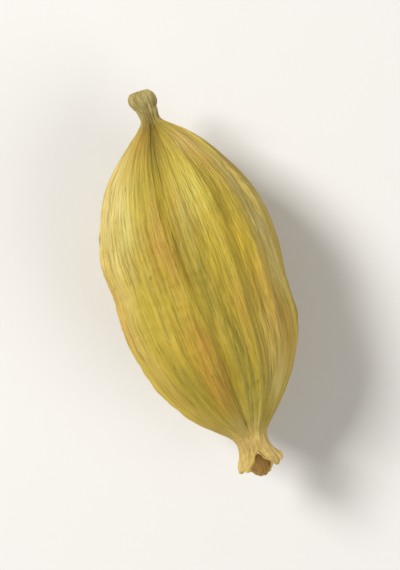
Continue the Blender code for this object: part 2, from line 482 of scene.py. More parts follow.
off_seam = off_furrow * ring_radius + SEAM_WANDER * grain_noise(SEAM_WANDER_SIZE, (5.0, 5.0, 0.7))
seam = bell(off_seam, SEAM_HALF_WIDTH)
lips = bell(np.abs(off_seam) - SEAM_LIP_OUT, SEAM_LIP_HALF_WIDTH)
seam_strength = patchy(SEAM_PATCH_SIZE, (2.2, 9.0, 4.0), cover=0.75)
fine_relief += seam_strength * (SEAM_LIP * lips - SEAM_DEPTH * seam) * fullness
print("fine relief, mm:", (np.ptp(fine_relief) / MM).round(3))

# %% [markdown]
# ## The stub
#
# The stub is corky, with a ring round its neck and a granular broken face. Two soft
# masks, one for the stub and one for the calyx, say where the husk ends. There its relief
# gets weaker, and on the surfaces inside it is weaker still.

# %% Relief of the stub, and the share of the husk's relief at both ends
STUB_FADES_FROM = 0.9 * MM
CALYX_FADES_FROM = 15.2 * MM
END_FADE_LENGTH = 1.0 * MM
END_RELIEF = 0.6
END_FINE_RELIEF = 0.25
INNER_RELIEF = 0.25
INNER_FINE_RELIEF = 0.3
CORK_HEIGHT = 0.030 * MM
CORK_SIZE = (0.30 * MM, 0.16 * MM, 0.16 * MM)
STUB_RING_AT = 0.86 * MM
STUB_RING_DEPTH = 0.045 * MM
STUB_RING_HALF_WIDTH = 0.07 * MM
FACE_GRAIN = 0.045 * MM
FACE_GRAIN_SIZE = 0.13 * MM

on_skin = (ring_zone == SKIN)[:, None]
on_face = (ring_zone == BROKEN_FACE)[:, None]
stub = 1.0 - smooth_step((ring_along - STUB_FADES_FROM) / END_FADE_LENGTH)
calyx = smooth_step((ring_along - CALYX_FADES_FROM) / END_FADE_LENGTH)
slim = np.maximum(stub, calyx)
relief_share = np.where(on_skin, 1.0 - (1.0 - END_RELIEF) * slim, INNER_RELIEF)
fine_share = np.where(on_skin, 1.0 - (1.0 - END_FINE_RELIEF) * slim, INNER_FINE_RELIEF)

around = stack_points(ring_along, ring_radius * np.cos(angle), ring_radius * np.sin(angle))
cork = noise_over(around, CORK_SIZE, (7.0, 1.0, 2.0))
stub_ring = bell(ring_along - STUB_RING_AT, STUB_RING_HALF_WIDTH)
end_relief = stub * on_skin * (CORK_HEIGHT * cork - STUB_RING_DEPTH * stub_ring)
face_grain = FACE_GRAIN * noise_over(around, FACE_GRAIN_SIZE, (2.0, 2.0, 2.0)) * on_face
print("stub relief, mm:", (np.ptp(end_relief) / MM).round(3))

# %% [markdown]
# ## The calyx
#
# The calyx is what is left of the flower: a papery tube with three blunt lobes, torn along
# its edge. Its rim is made by moving points along the pod. The rim is cut back all round,
# then each lobe is a soft wave that brings it out again: two short ones above, a long one
# below, a notch between the two that lets one look in. Noise that only ever takes away
# makes the tears. Each effect is multiplied by a power of the way up the tube: the higher
# the power, the closer to the edge it stays. Both walls move alike, so the tube keeps its
# thickness.

# %% Rim of the calyx
RIM_CUT_BACK = 0.50 * MM
RIM_LOBES = (
    # turn from the top and half width in degrees, and how far the lobe reaches
    (-54, 36, 0.54 * MM),
    (50, 34, 0.50 * MM),
    (180, 55, 0.92 * MM),
    (0, 20, -0.30 * MM),
)
RIM_TEAR = 0.36 * MM
RIM_TEAR_SIZE = 0.62
RIM_FRAY = 0.07 * MM
RIM_FRAY_SIZE = 0.13
RIM_CURL = 0.12 * MM
RIM_CURL_SIZE = 0.55
RIM_CURL_SPREAD = 1.5
RIM_CURL_INWARD = 0.2

up_tube = np.clip((ring_along - HUSK_END) / (RIM_AT - HUSK_END), 0.0, 1.0)
rim_turn = stack_points(0.0, np.cos(angle), np.sin(angle))
tears = RIM_TEAR * np.abs(noise_over(rim_turn, RIM_TEAR_SIZE, (4.0, 8.5, 2.5)))
fray = RIM_FRAY * np.abs(noise_over(rim_turn, RIM_FRAY_SIZE, (1.0, 3.5, 9.5)))
curl = RIM_CURL_SPREAD * noise_over(rim_turn, RIM_CURL_SIZE, (8.0, 2.0, 6.0))
lobes = np.full(angle.shape, -RIM_CUT_BACK)
for degrees, half_turn, reach in RIM_LOBES:
    away = (np.degrees(angle) - degrees + 180.0) % 360.0 - 180.0
    lobes += reach * bell(away, half_turn)
rim_shift = up_tube**2 * lobes - up_tube**4 * tears - up_tube**9 * fray
rim_curl = RIM_CURL * up_tube**3 * (curl - RIM_CURL_INWARD)
print("rim shift, mm:", (np.ptp(rim_shift) / MM).round(2))

# %% [markdown]
# ## Put the points in place
#
# Each point goes out from the centre line by its radius and all its relief. Then the belly
# is pressed flat where the pod rests: a soft maximum with zero, so the edge of the flat
# spot stays round. Last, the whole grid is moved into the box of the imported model, which
# puts it exactly where the solid is.

# %% Points of the dressed pod
FLATTENING = 0.965
LEAST_RADIUS = 0.01 * MM
FLAT_SPOT_DEPTH = 0.20 * MM
FLAT_SPOT_SOFTNESS = 0.02 * MM


def pod_points():
    """Every point of the grid, with all the relief, before the pod is laid down."""
    radius = ring_radius + relief_share * large_relief + fine_share * fine_relief
    radius = np.maximum(radius + end_relief + rim_curl, LEAST_RADIUS)
    x = ring_along + rim_shift + face_grain
    y = ring_sideways + radius * np.sin(angle)
    z = ring_up + radius * np.cos(angle) * FLATTENING
    return stack_points(x, y, z)


def press_flat(points):
    """Pushes what is under the ground up to it, with a soft edge."""
    height = points[..., 2] - points[..., 2].min() - FLAT_SPOT_DEPTH
    points[..., 2] = FLAT_SPOT_SOFTNESS * np.logaddexp(0.0, height / FLAT_SPOT_SOFTNESS)
    return points


def fit_to_box(points, low, high):
    """Moves the points so that their box is the given one."""
    flat = points.reshape(-1, 3)
    own_low, own_high = flat.min(axis=0), flat.max(axis=0)
    share = (points - own_low) / (own_high - own_low)
    return np.array(low) + share * (np.array(high) - np.array(low))


points = fit_to_box(press_flat(pod_points()), cad_low, cad_high)
print("dressed pod, mm:", (np.ptp(points.reshape(-1, 3), axis=0) / MM).round(2))

# %% [markdown]
# ## From points to a mesh
#
# Faces join each ring to the next, and a fan of triangles closes each end. The faces carry
# a material by zone: skin, broken face or cup.

# %% Build the mesh
def grid_faces(rings, count):
    """Four-sided faces between neighbouring rings, as numbers of points."""
    start = np.arange(rings - 1)[:, None] * count
    here = np.arange(count)[None, :]
    after = (here + 1) % count
    corners = [start + here, start + count + here, start + count + after, start + after]
    return np.stack(corners, -1).reshape(-1, 4)


def pod_mesh(points):
    """The grid as a closed mesh; the middles of its two ends are the last two points."""
    rings, count = points.shape[:2]
    first_end, last_end = points[0].mean(axis=0), points[-1].mean(axis=0)
    verts = np.concatenate([points.reshape(-1, 3), [first_end, last_end]])
    here = np.arange(count)
    after = (here + 1) % count
    last = (rings - 1) * count
    first_fan = np.stack([np.full(count, rings * count), here, after], -1)
    last_fan = np.stack([np.full(count, rings * count + 1), last + after, last + here], -1)
    faces = grid_faces(rings, count).tolist() + first_fan.tolist() + last_fan.tolist()
    mesh = bpy.data.meshes.new("dressed_pod")
    mesh.from_pydata(verts, [], faces)
    mesh.shade_smooth()
    return mesh


def set_zones(mesh):
    """Gives each face its material: broken face where it starts there, else as it ends."""
    before, after = np.repeat(ring_zone[:-1], POINTS_ROUND), np.repeat(ring_zone[1:], POINTS_ROUND)
    by_ring = np.where(before == BROKEN_FACE, BROKEN_FACE, after)
    ends = [BROKEN_FACE] * POINTS_ROUND + [CUP] * POINTS_ROUND
    zones = np.concatenate([by_ring, ends]).astype(np.int32)
    mesh.polygons.foreach_set("material_index", zones)


dressed_mesh = pod_mesh(points)
set_zones(dressed_mesh)
triangles = sum(len(face.vertices) - 2 for face in dressed_mesh.polygons)
print("faces:", len(dressed_mesh.polygons), "triangles:", triangles)

# %% [markdown]
# ## Unroll the skin
#
# A UV map says where each corner of a face lies on a flat sheet. This one unrolls the pod
# like a label, with its only cut along the upper side, so painted detail can be baked
# without other seams.

# %% Make the UV map
UV_MARGIN = 0.01


def set_uv(mesh, points):
    """One turn round the pod across, and the length of the path over it up."""
    rings, count = points.shape[:2]
    steps = np.linalg.norm(np.diff(points, axis=0), axis=-1).mean(axis=1)
    up = np.concatenate([[0.0], np.cumsum(steps)])
    up = UV_MARGIN + (1.0 - 2.0 * UV_MARGIN) * up / up[-1]
    corner = np.zeros(len(mesh.loops), dtype=np.int64)
    mesh.loops.foreach_get("vertex_index", corner)
    ring, place = np.divmod(corner, count)
    face_start = np.repeat(np.arange((rings - 1) * count) % count, 4)
    fan_start = np.repeat(np.tile(np.arange(count), 2), 3)
    start = np.concatenate([face_start, fan_start])
    across = np.where((start == count - 1) & (place == 0), 1.0, place / count)
    at_end = corner >= rings * count
    across = np.where(at_end, (start + 0.5) / count, across)
    end_height = np.where(corner == rings * count, 0.0, 1.0)
    height = np.where(at_end, end_height, up[np.minimum(ring, rings - 1)])
    layer = mesh.uv_layers.new(name="OFBake")
    layer.uv.foreach_set("vector", np.stack([across, height], -1).astype(np.float32).ravel())


set_uv(dressed_mesh, points)
print("UV maps:", [layer.name for layer in dressed_mesh.uv_layers])

# %% [markdown]
# ## Large stains and painted light
#
# A few large stains are placed as on the pod in the photograph: dark green, leaf
# green, gold, bleached and tan. Some of them are painted light: bleached spots at the top
# and on the left shoulder are a painted highlight, others lighten the shaded right flank,
# and bleached, gold and leaf green spots lighten the slope just above the calyx, which
# faces away from the lamp. Each gives how far along the pod it lies, its turn in
# degrees from the upper furrow, its reach along and across, and its strength. Distances
# are in millimetres. Those turned by more than 90 degrees are on the far side.

# %% Places of the large stains
STAINS = {
    "green_stain": (
        (7.0, -1, 1.9, 0.8, 0.9), (12.2, 4, 2.4, 1.2, 1.0),
        (7.2, 6, 2.0, 0.4, 0.8), (13.2, 11, 1.5, 0.6, 1.0),
        (10.6, 10, 1.4, 0.35, 0.6), (8.8, -28, 2.2, 0.4, 0.4),
        (12.9, -34, 1.4, 0.6, 1.0), (9.0, 34, 2.2, 0.4, 0.3),
        (2.0, -32, 0.7, 0.5, 0.4), (1.9, 36, 0.6, 0.4, 0.4),
        (10.0, 95, 4.0, 1.2, 0.7), (7.0, -160, 3.0, 1.3, 0.7),
    ),
    "leaf_green_and_painted_light": (
        (4.9, 23, 1.3, 0.65, 1.0), (5.0, -37, 1.4, 0.45, 0.8),
        # The spot at 15.2 mm is painted light on the shaded slope just above the calyx.
        (14.2, 20, 1.0, 0.5, 0.7), (15.2, 4, 0.8, 0.8, 0.8),
        (13.8, 48, 1.0, 0.6, 0.9),
    ),
    "gold_and_painted_light": (
        (8.9, 41, 2.4, 0.65, 0.9), (12.3, 38, 1.8, 0.6, 0.9),
        # The spot at 15.1 mm is painted light on the shaded slope just above the calyx.
        (7.6, 70, 1.2, 0.4, 0.6), (15.1, -4, 0.7, 0.8, 1.0),
    ),
    # Painted highlight at the top and on the left shoulder, painted light on the shaded right
    # flank and at 15.4 mm above the calyx, and a bleached patch on the far side.
    "bleach_and_painted_light": (
        (5.6, 15, 1.3, 0.5, 0.3), (3.2, -52, 1.3, 0.55, 0.5),
        (3.0, 43, 0.7, 0.5, 0.8), (6.0, 62, 2.6, 0.45, 0.9),
        (8.9, 66, 1.8, 0.4, 0.8), (13.8, 52, 0.9, 0.45, 0.45),
        (5.3, -46, 2.2, 0.9, 1.0), (5.8, -68, 1.8, 0.5, 1.0),
        (12.8, 46, 1.4, 0.5, 0.5), (8.4, -58, 2.8, 0.6, 0.7),
        (11.4, 42, 2.0, 0.5, 0.3), (15.4, -2, 0.7, 0.8, 0.9),
        (8.0, 120, 3.0, 0.9, 0.6),
    ),
    "tan_stain": (
        (7.1, -12, 1.6, 0.72, 0.7), (12.1, -9, 1.5, 0.62, 1.0),
        (14.0, -13, 0.8, 0.38, 1.0), (11.4, 49, 2.0, 0.5, 0.6),
        (10.2, 24, 1.0, 0.35, 0.5), (9.0, -62, 2.6, 0.5, 0.6),
        (3.2, 44, 0.9, 0.5, 0.7), (2.3, -27, 1.0, 0.5, 0.6),
        (12.0, 60, 1.6, 0.5, 0.5), (9.0, 150, 3.0, 1.1, 0.8),
        (6.0, -130, 2.0, 0.9, 0.6),
    ),
}


def stains(places):
    """The sum of soft spots on the skin, held between 0 and 1."""
    total = np.zeros(grown.shape[:-1])
    for at, degrees, length, width, strength in places:
        off = (turned - math.radians(degrees) + math.pi) % math.tau - math.pi
        lengthwise = (ring_along - at * MM) / (length * MM)
        sideways = off * ring_radius / (width * MM)
        total += strength * np.exp(-(lengthwise**2 + sideways**2))
    return np.clip(total, 0.0, 1.0)


print("stains:", {name: len(places) for name, places in STAINS.items()})

# %% [markdown]
# ## What the paint needs to know
#
# The materials paint by place: furrows get painted shade, nerves are pale, the stub corky. The
# shape already knows where these are, so each is stored on the points as an attribute for the
# shader to read. "grown" is the place on the straightened pod in millimetres, so patterns
# follow the grain all the way into the tips. "around" keeps the true radius, for the two
# ends. The painted shade in the furrows is strongest near the stub, and only where the pod is
# slim.

# %% Store the masks
FURROW_SHADE_AT_STUB = 0.9
FURROW_SHADE_AT_CALYX = 0.1
FURROW_SHADE_FROM = 6.0 * MM
FURROW_SHADE_LENGTH = 9.0 * MM
FURROW_SHADE_SPREAD = 1.6
RIDGE_SHARPNESS = 4


def store(mesh, name, values):
    """Keeps one number for each point; the two end points take the nearest ring's mean."""
    values = np.broadcast_to(values, grown.shape[:-1])
    values = np.concatenate([values.ravel(), [values[0].mean(), values[-1].mean()]])
    layer = mesh.attributes.new(name, "FLOAT", "POINT")
    layer.data.foreach_set("value", values.astype(np.float32))


def store_place(mesh, name, places):
    """Keeps one place for each point, in millimetres."""
    places = np.concatenate([places.reshape(-1, 3), places[[0, -1]].mean(axis=1)]) / MM
    layer = mesh.attributes.new(name, "FLOAT_VECTOR", "POINT")
    layer.data.foreach_set("vector", places.astype(np.float32).ravel())


to_calyx = smooth_step((ring_along - FURROW_SHADE_FROM) / FURROW_SHADE_LENGTH)
furrow_shade = FURROW_SHADE_AT_STUB - (FURROW_SHADE_AT_STUB - FURROW_SHADE_AT_CALYX) * to_calyx
masks = {
    "nerve": nerve * nerve_strength,
    "fibre": fibre,
    # Painted shade in the furrow: strongest near the stub, and only where the pod is slim.
    "furrow": furrow * furrow_shade * smooth_step(slimness * FURROW_SHADE_SPREAD),
    "seam": seam * seam_strength,
    "vein": vein,
    "ridge": (0.5 - 0.5 * np.cos(VALVES * turned)) ** RIDGE_SHARPNESS,
    "stub": stub,
    "calyx": calyx,
    "up_tube": up_tube,
    "cup_depth": np.clip((RIM_AT - ring_along) / (RIM_AT - CUP_FLOOR_AT), 0.0, 1.0),
}
store_place(dressed_mesh, "grown", grown)
store_place(dressed_mesh, "around", around)
for name, values in masks.items():
    store(dressed_mesh, name, values)
for name, places in STAINS.items():
    store(dressed_mesh, name, stains(places))
print("masks:", len(dressed_mesh.attributes))

# %% [markdown]
# ## Helpers for node trees
#
# A material is a graph of nodes. Small helpers keep it readable: one adds a node and sets
# or links its inputs, two do arithmetic, one lays a colour over another through a mask,
# one stretches a range, and one reads what the mesh carries.

# %% Node helpers
def feed(tree, socket, value):
    """Links a socket, or sets a plain value."""
    if isinstance(value, bpy.types.NodeSocket):
        tree.links.new(value, socket)
    else:
        socket.default_value = value


def add(tree, kind, values=(), **settings):
    """Adds a node. Values are (input name or number, value or socket) pairs."""
    made = tree.nodes.new(kind)
    for name, value in settings.items():
        setattr(made, name, value)
    for name, value in dict(values).items():
        feed(tree, made.inputs[name], value)
    return made


def calculate(tree, operation, *values):
    """Arithmetic on numbers."""
    return add(tree, "ShaderNodeMath", enumerate(values), operation=operation).outputs[0]


def calculate_place(tree, operation, *values):
    """Arithmetic on places."""
    return add(tree, "ShaderNodeVectorMath", enumerate(values), operation=operation).outputs[0]


def lay_over(tree, below, above, mask, strength):
    """One colour over another where the mask is 1, as strongly as told."""
    share = calculate(tree, "MULTIPLY", mask, strength)
    made = add(tree, "ShaderNodeMix", {0: share, 6: below, 7: above}, data_type="RGBA")
    return made.outputs[2]


def remap(tree, value, low, high, to_low=0.0, to_high=1.0):
    """Stretches low to high out to the new range, with soft ends."""
    ends = {"Value": value, "From Min": low, "From Max": high, "To Min": to_low, "To Max": to_high}
    return add(tree, "ShaderNodeMapRange", ends, interpolation_type="SMOOTHSTEP").outputs["Result"]


def read(tree, name, output="Fac"):
    """Reads a mask or a place that the mesh carries."""
    return add(tree, "ShaderNodeAttribute", attribute_name=name).outputs[output]


print("node helpers ready")

# %% [markdown]
# ## Node groups
#
# A pattern that several materials use is a node group, made once and placed in each with
# its own values. All four groups here work on a place divided by a length and a width in
# millimetres, so what they draw can be long and narrow. These helpers make an empty
# group, place one in a tree, do that division and draw noise.

# %% Helpers for groups
GRAIN_INPUTS = {"Where": None, "Length": 1.0, "Width": 1.0, "Seed": 0.0}


def new_group(name, inputs, outputs):
    """An empty group. Inputs are usual numbers by name, or None for a place."""
    tree = bpy.data.node_groups.new(name, "ShaderNodeTree")
    for label, usual in inputs.items():
        kind = "NodeSocketVector" if usual is None else "NodeSocketFloat"
        socket = tree.interface.new_socket(label, in_out="INPUT", socket_type=kind)
        if usual is not None:
            socket.default_value = usual
    for label in outputs:
        tree.interface.new_socket(label, in_out="OUTPUT", socket_type="NodeSocketFloat")
    return tree, tree.nodes.new("NodeGroupInput").outputs, tree.nodes.new("NodeGroupOutput").inputs


def use(tree, group, where, size, **values):
    """Places a group in a tree, at its own length and width; returns its outputs."""
    values.update(Where=where, Length=size[0], Width=size[1])
    return add(tree, "ShaderNodeGroup", values, node_tree=group).outputs


def in_cells(tree, where, given):
    """A place counted in cells of the group's length and width."""
    sides = {0: given["Length"], 1: given["Width"], 2: given["Width"]}
    cell = add(tree, "ShaderNodeCombineXYZ", sides).outputs[0]
    return calculate_place(tree, "DIVIDE", where, cell)


def stretched(tree, given):
    """The group's place in cells, turned to a slant and moved by the seed."""
    turns = {"Vector": in_cells(tree, given["Where"], given), "Rotation": SLANT}
    slanted = add(tree, "ShaderNodeMapping", turns).outputs[0]
    return calculate_place(tree, "ADD", slanted, given["Seed"])


def clouds(tree, place, scale, detail, roughness=0.5, output="Fac"):
    """Noise at a place: Fac is one number from 0 to 1, Color is three of them."""
    values = {"Vector": place, "Scale": scale, "Detail": detail, "Roughness": roughness}
    return add(tree, "ShaderNodeTexNoise", values).outputs[output]


print("inputs of every group:", list(GRAIN_INPUTS))

# %% [markdown]
# ## Blotches
#
# Dried plant skin changes colour in soft patches. This group makes a mask of them: noise
# pushed apart by how sharp the edges of the patches are. The husk, the broken face and the
# cup all use it at their own sizes.

# %% The blotches group
def make_blotches():
    """Soft patches: Cover is the share that they fill, Edge half the width of their edge."""
    inputs = {**GRAIN_INPUTS, "Edge": 0.15, "Cover": 0.5}
    tree, given, out = new_group("blotches", inputs, ["Mask"])
    patches = clouds(tree, stretched(tree, given), scale=1.0, detail=4.0, roughness=0.6)
    middle = calculate(tree, "SUBTRACT", 1.0, given["Cover"])
    low = calculate(tree, "SUBTRACT", middle, given["Edge"])
    high = calculate(tree, "ADD", middle, given["Edge"])
    feed(tree, out["Mask"], remap(tree, patches, low, high))
    return tree


blotches = make_blotches()
print("group:", blotches.name)

# %% [markdown]
# ## Fibre streaks
#
# The finest fibres are thinner than the mesh can carry, so they live in the material: as
# streaks of colour and as a height for the bump. Two noises, one more than twice as fine as
# the other, are stretched hard along the grain and added.

# %% The streaks group
STREAK_LOW = 0.80
STREAK_HIGH = 1.20


def make_streaks():
    """Streaks for colour, from 0 to 1, and their height for a bump."""
    tree, given, out = new_group("fibre_streaks", GRAIN_INPUTS, ["Streaks", "Height"])
    place = stretched(tree, given)
    broad = clouds(tree, place, scale=0.5, detail=2.0)
    narrow = clouds(tree, place, scale=1.3, detail=4.0, roughness=0.65)
    both = calculate(tree, "ADD", broad, narrow)
    feed(tree, out["Streaks"], remap(tree, both, STREAK_LOW, STREAK_HIGH))
    feed(tree, out["Height"], calculate(tree, "MULTIPLY", both, 0.5))
    return tree


streaks = make_streaks()
print("group:", streaks.name)

# %% [markdown]
# ## Crumple
#
# Close up, dry husk isn't satin. It is minutely crumpled, like paper that was wetted and
# dried. Ridged noise gives that as a height: a net of fine creases where the noise crosses
# its middle value.

# %% The crumple group
NOISE_MIDDLE = 0.5
CREASE_HALF_WIDTH = 0.22


def make_crumple():
    """A height that drops to 0 in each crease."""
    tree, given, out = new_group("crumple", GRAIN_INPUTS, ["Height"])
    folds = clouds(tree, stretched(tree, given), scale=1.0, detail=4.0)
    off_middle = calculate(tree, "SUBTRACT", folds, NOISE_MIDDLE)
    creases = calculate(tree, "ABSOLUTE", off_middle)
    feed(tree, out["Height"], remap(tree, creases, 0.0, CREASE_HALF_WIDTH))
    return tree


crumple = make_crumple()
print("group:", crumple.name)

# %% [markdown]
# ## Specks
#
# Dried pods have scattered brown specks: tiny scars and rubbed spots, drawn out along the
# fibres. A Voronoi texture puts one point in every cell of a stretched grid. Its distance
# gives a dash, and its random colour decides which cells get one and how big it is. Noise
# frays the edges.

# %% The specks group
SPECK_WOBBLE = 0.22
SPECK_CORE = 0.2


def make_specks():
    """Dashes: Size is their greatest reach in cells, Share the part of the cells with one."""
    inputs = {**GRAIN_INPUTS, "Size": 0.25, "Share": 0.3}
    tree, given, out = new_group("specks", inputs, ["Mask"])
    wobble = clouds(tree, given["Where"], scale=7.0, detail=3.0, output="Color")
    bend = calculate_place(tree, "MULTIPLY", wobble, (SPECK_WOBBLE,) * 3)
    bent = calculate_place(tree, "ADD", given["Where"], bend)
    place = calculate_place(tree, "ADD", in_cells(tree, bent, given), given["Seed"])
    cells = add(tree, "ShaderNodeTexVoronoi", {"Vector": place, "Scale": 1.0})
    chance = add(tree, "ShaderNodeSeparateColor", {"Color": cells.outputs["Color"]})
    chosen = calculate(tree, "LESS_THAN", chance.outputs["Red"], given["Share"])
    reach = calculate(tree, "MULTIPLY", given["Size"], chance.outputs["Green"])
    core = calculate(tree, "MULTIPLY", reach, SPECK_CORE)
    dash = remap(tree, cells.outputs["Distance"], core, reach, 1.0, 0.0)
    feed(tree, out["Mask"], calculate(tree, "MULTIPLY", dash, chosen))
    return tree


specks = make_specks()
print("group:", specks.name)

# %% [markdown]
# ## Colours of the husk
#
# The husk is straw yellow and olive green, with tan where it dried hardest. Screens store
# colours on a curve and Blender counts in amounts of light, so each colour is given as
# picked from a screen and turned into light.

# %% Colours of the husk and its two ends
def srgb(red, green, blue):
    """A screen colour, 0 to 255, as the amounts of light that Blender uses."""
    shares = [channel / 255 for channel in (red, green, blue)]
    return (*[s / 12.92 if s < 0.04045 else ((s + 0.055) / 1.055) ** 2.4 for s in shares], 1.0)


STRAW = srgb(204, 171, 46)
OLIVE = srgb(149, 128, 22)
YOUNG_GREEN = srgb(185, 168, 44)
DEEP_GREEN = srgb(130, 120, 26)
LEAF_GREEN = srgb(200, 194, 84)
GOLD = srgb(210, 172, 30)
TAN = srgb(198, 139, 50)
RUST = srgb(188, 120, 46)
PALE_NERVE = srgb(222, 191, 68)
PALE_RIDGE = srgb(224, 190, 92)
# Bleached cream, used for painted highlights and for bleached patches.
BLEACH_AND_HIGHLIGHT = srgb(224, 210, 142)
# Painted shade in the furrows and between the finest fibres.
SHADE_OLIVE = srgb(112, 90, 24)
SEAM_BROWN = srgb(78, 54, 18)
SPECK_BROWN = srgb(112, 72, 32)
CORK = srgb(207, 192, 126)
CORK_DARK = srgb(160, 134, 74)
PAPER = srgb(236, 205, 126)
PAPER_DARK = srgb(178, 130, 70)
print("straw as light:", [round(channel, 3) for channel in STRAW[:3]])

# %% [markdown]
# ## Patterns of the husk
#
# Each pattern of the husk is one of the groups at its own length and width in
# millimetres: blotches from broad patches to mottling, broad and hair-fine streaks, small
# and tiny specks, and the crumple of the skin.

# %% The husk's patterns
HUSK_PATTERNS = {
    "broad": (blotches, (7.0, 2.4), dict(Edge=0.16, Seed=3.0)),
    "young": (blotches, (4.0, 1.3), dict(Edge=0.10, Seed=11.0)),
    "dried": (blotches, (3.2, 1.0), dict(Edge=0.08, Cover=0.42, Seed=23.0)),
    "ragged": (blotches, (1.5, 0.5), dict(Edge=0.2, Seed=31.0)),
    "mottled": (blotches, (1.9, 0.8), dict(Edge=0.07, Cover=0.45, Seed=41.0)),
    "fine": (streaks, (2.2, 0.11), dict(Seed=5.0)),
    "hair": (streaks, (1.3, 0.055), dict(Seed=17.0)),
    "small": (specks, (1.9, 0.75), dict(Size=0.26, Share=0.3, Seed=2.0)),
    "tiny": (specks, (0.8, 0.32), dict(Size=0.30, Share=0.3, Seed=9.0)),
    "crumpled": (crumple, (0.9, 0.26), dict(Seed=12.0)),
}


def husk_marks(tree, where):
    """Places all the patterns of the husk in its tree; returns their outputs by name."""
    patterns = HUSK_PATTERNS.items()
    return {name: use(tree, group, where, size, **own) for name, (group, size, own) in patterns}


print("patterns:", list(HUSK_PATTERNS))

# %% [markdown]
# ## Paint of the husk
#
# The paint is a pile of coats, each a colour with the mask that it goes through and its
# strength. Broad patches come first, then pale nerves, ridges rubbed paler with a painted
# highlight along the outline, veins, and painted shade in the grooves between the fibres.
# The large stains lie over these, with ragged, streaky edges so that they don't look
# sprayed on; some of them are painted light. Fibres, painted shade between the finest
# fibres and in the furrows, seams and specks come last. The corky stub and the papery
# calyx are laid over the two ends.

# %% Lay the coats of paint
RAGGED_LEAST = 0.45
RAGGED_SPREAD = 0.8
HAIR_LEAST = 0.55
HAIR_MOST = 1.35
STAIN_COATS = {
    "green_stain": (DEEP_GREEN, 0.80),
    # The leaf green, gold and bleached coats also paint light: a painted highlight, and lighter
    # paint on shaded slopes.
    "leaf_green_and_painted_light": (LEAF_GREEN, 0.70),
    "gold_and_painted_light": (GOLD, 0.55),
    "bleach_and_painted_light": (BLEACH_AND_HIGHLIGHT, 0.68),
    "tan_stain": (RUST, 0.62),
}


def ragged_edges(tree, marks):
    """What a stain is multiplied by: less in ragged gaps and between the finest fibres."""
    torn = marks["ragged"]["Mask"]
    torn = calculate(tree, "MULTIPLY_ADD", torn, RAGGED_SPREAD, RAGGED_LEAST)
    hairs = remap(tree, marks["hair"]["Streaks"], 0.0, 1.0, HAIR_LEAST, HAIR_MOST)
    return calculate(tree, "MULTIPLY", torn, hairs)


def husk_paint(tree, marks):
    """The colour of the husk, broad patches first and specks last."""
    edges = ragged_edges(tree, marks)
    # Paler along the valve ridges, which lie near the outline seen from above: rubbed wear, and a
    # painted highlight along the outline.
    rubbed_and_outline_highlight = calculate(tree, "MULTIPLY", read(tree, "ridge"), edges)
    # Painted shade: olive in the grooves between the fibres of the mesh.
    shade_between_fibres = remap(tree, read(tree, "fibre"), 0.25, 0.75, 1.0, 0.0)
    shade_between_hairs = remap(tree, marks["hair"]["Streaks"], 0.0, 0.35, 1.0, 0.0)
    coats = [
        (OLIVE, marks["broad"]["Mask"], 0.90),
        (YOUNG_GREEN, marks["young"]["Mask"], 0.60),
        (OLIVE, marks["mottled"]["Mask"], 0.40),
        (TAN, marks["dried"]["Mask"], 0.42),
        (PALE_NERVE, read(tree, "nerve"), 0.20),
        (PALE_RIDGE, rubbed_and_outline_highlight, 0.50),
        (PALE_RIDGE, read(tree, "vein"), 0.38),
        (OLIVE, shade_between_fibres, 0.32),
    ]
    for name, (tint, strength) in STAIN_COATS.items():
        coats.append((tint, calculate(tree, "MULTIPLY", read(tree, name), edges), strength))
    coats += [
        (PALE_NERVE, marks["fine"]["Streaks"], 0.38),
        # Painted shade between the finest fibres, where their bump is low, and in the furrows.
        (SHADE_OLIVE, shade_between_hairs, 0.38),
        (SHADE_OLIVE, read(tree, "furrow"), 0.75),
        (SEAM_BROWN, read(tree, "seam"), 0.22),
        (SPECK_BROWN, marks["small"]["Mask"], 0.60),
        (SPECK_BROWN, marks["tiny"]["Mask"], 0.45),
    ]
    colour = STRAW
    for tint, mask, strength in coats:
        colour = lay_over(tree, colour, tint, mask, strength)
    return colour


def end_paint(tree, colour, around):
    """Corky stub and papery calyx, laid over the two ends of the husk."""
    grain = use(tree, blotches, around, (0.6, 0.14), Edge=0.12, Seed=4.0)["Mask"]
    cork = lay_over(tree, CORK, CORK_DARK, grain, 0.7)
    paper = lay_over(tree, PAPER, PAPER_DARK, grain, 0.45)
    near_rim = remap(tree, read(tree, "up_tube"), 0.75, 1.0)
    paper = lay_over(tree, paper, PALE_RIDGE, near_rim, 0.6)
    colour = lay_over(tree, colour, cork, read(tree, "stub"), 0.9)
    return lay_over(tree, colour, paper, read(tree, "calyx"), 0.85)


print("stain coats:", list(STAIN_COATS))

# %% [markdown]
# ## The dried husk
#
# The skin is dry: rough, a little smoother on its fibres, with a faint sheen from the down
# of tiny fibre ends. A bump gives the finest relief, from the streaks and the crumple.

# %% The husk material
SHEEN = 0.45
SHEEN_ROUGHNESS = 0.35
BETWEEN_FIBRES_ROUGHNESS = 0.52
FIBRE_ROUGHNESS = 0.38
HAIR_RELIEF = 0.6
CRUMPLE_RELIEF = 0.2


def new_material(name, roughness, specular):
    """An empty material; returns it, its tree and its shader."""
    made = bpy.data.materials.new(name)
    made.use_nodes = True
    shader = made.node_tree.nodes["Principled BSDF"]
    shader.inputs["Roughness"].default_value = roughness
    shader.inputs["Specular IOR Level"].default_value = specular
    return made, made.node_tree, shader


def raise_bump(tree, shader, height, depth_mm, strength):
    """Turns a height into a small relief of the given depth."""
    values = {"Height": height, "Distance": depth_mm * MM, "Strength": strength}
    feed(tree, shader.inputs["Normal"], add(tree, "ShaderNodeBump", values).outputs["Normal"])


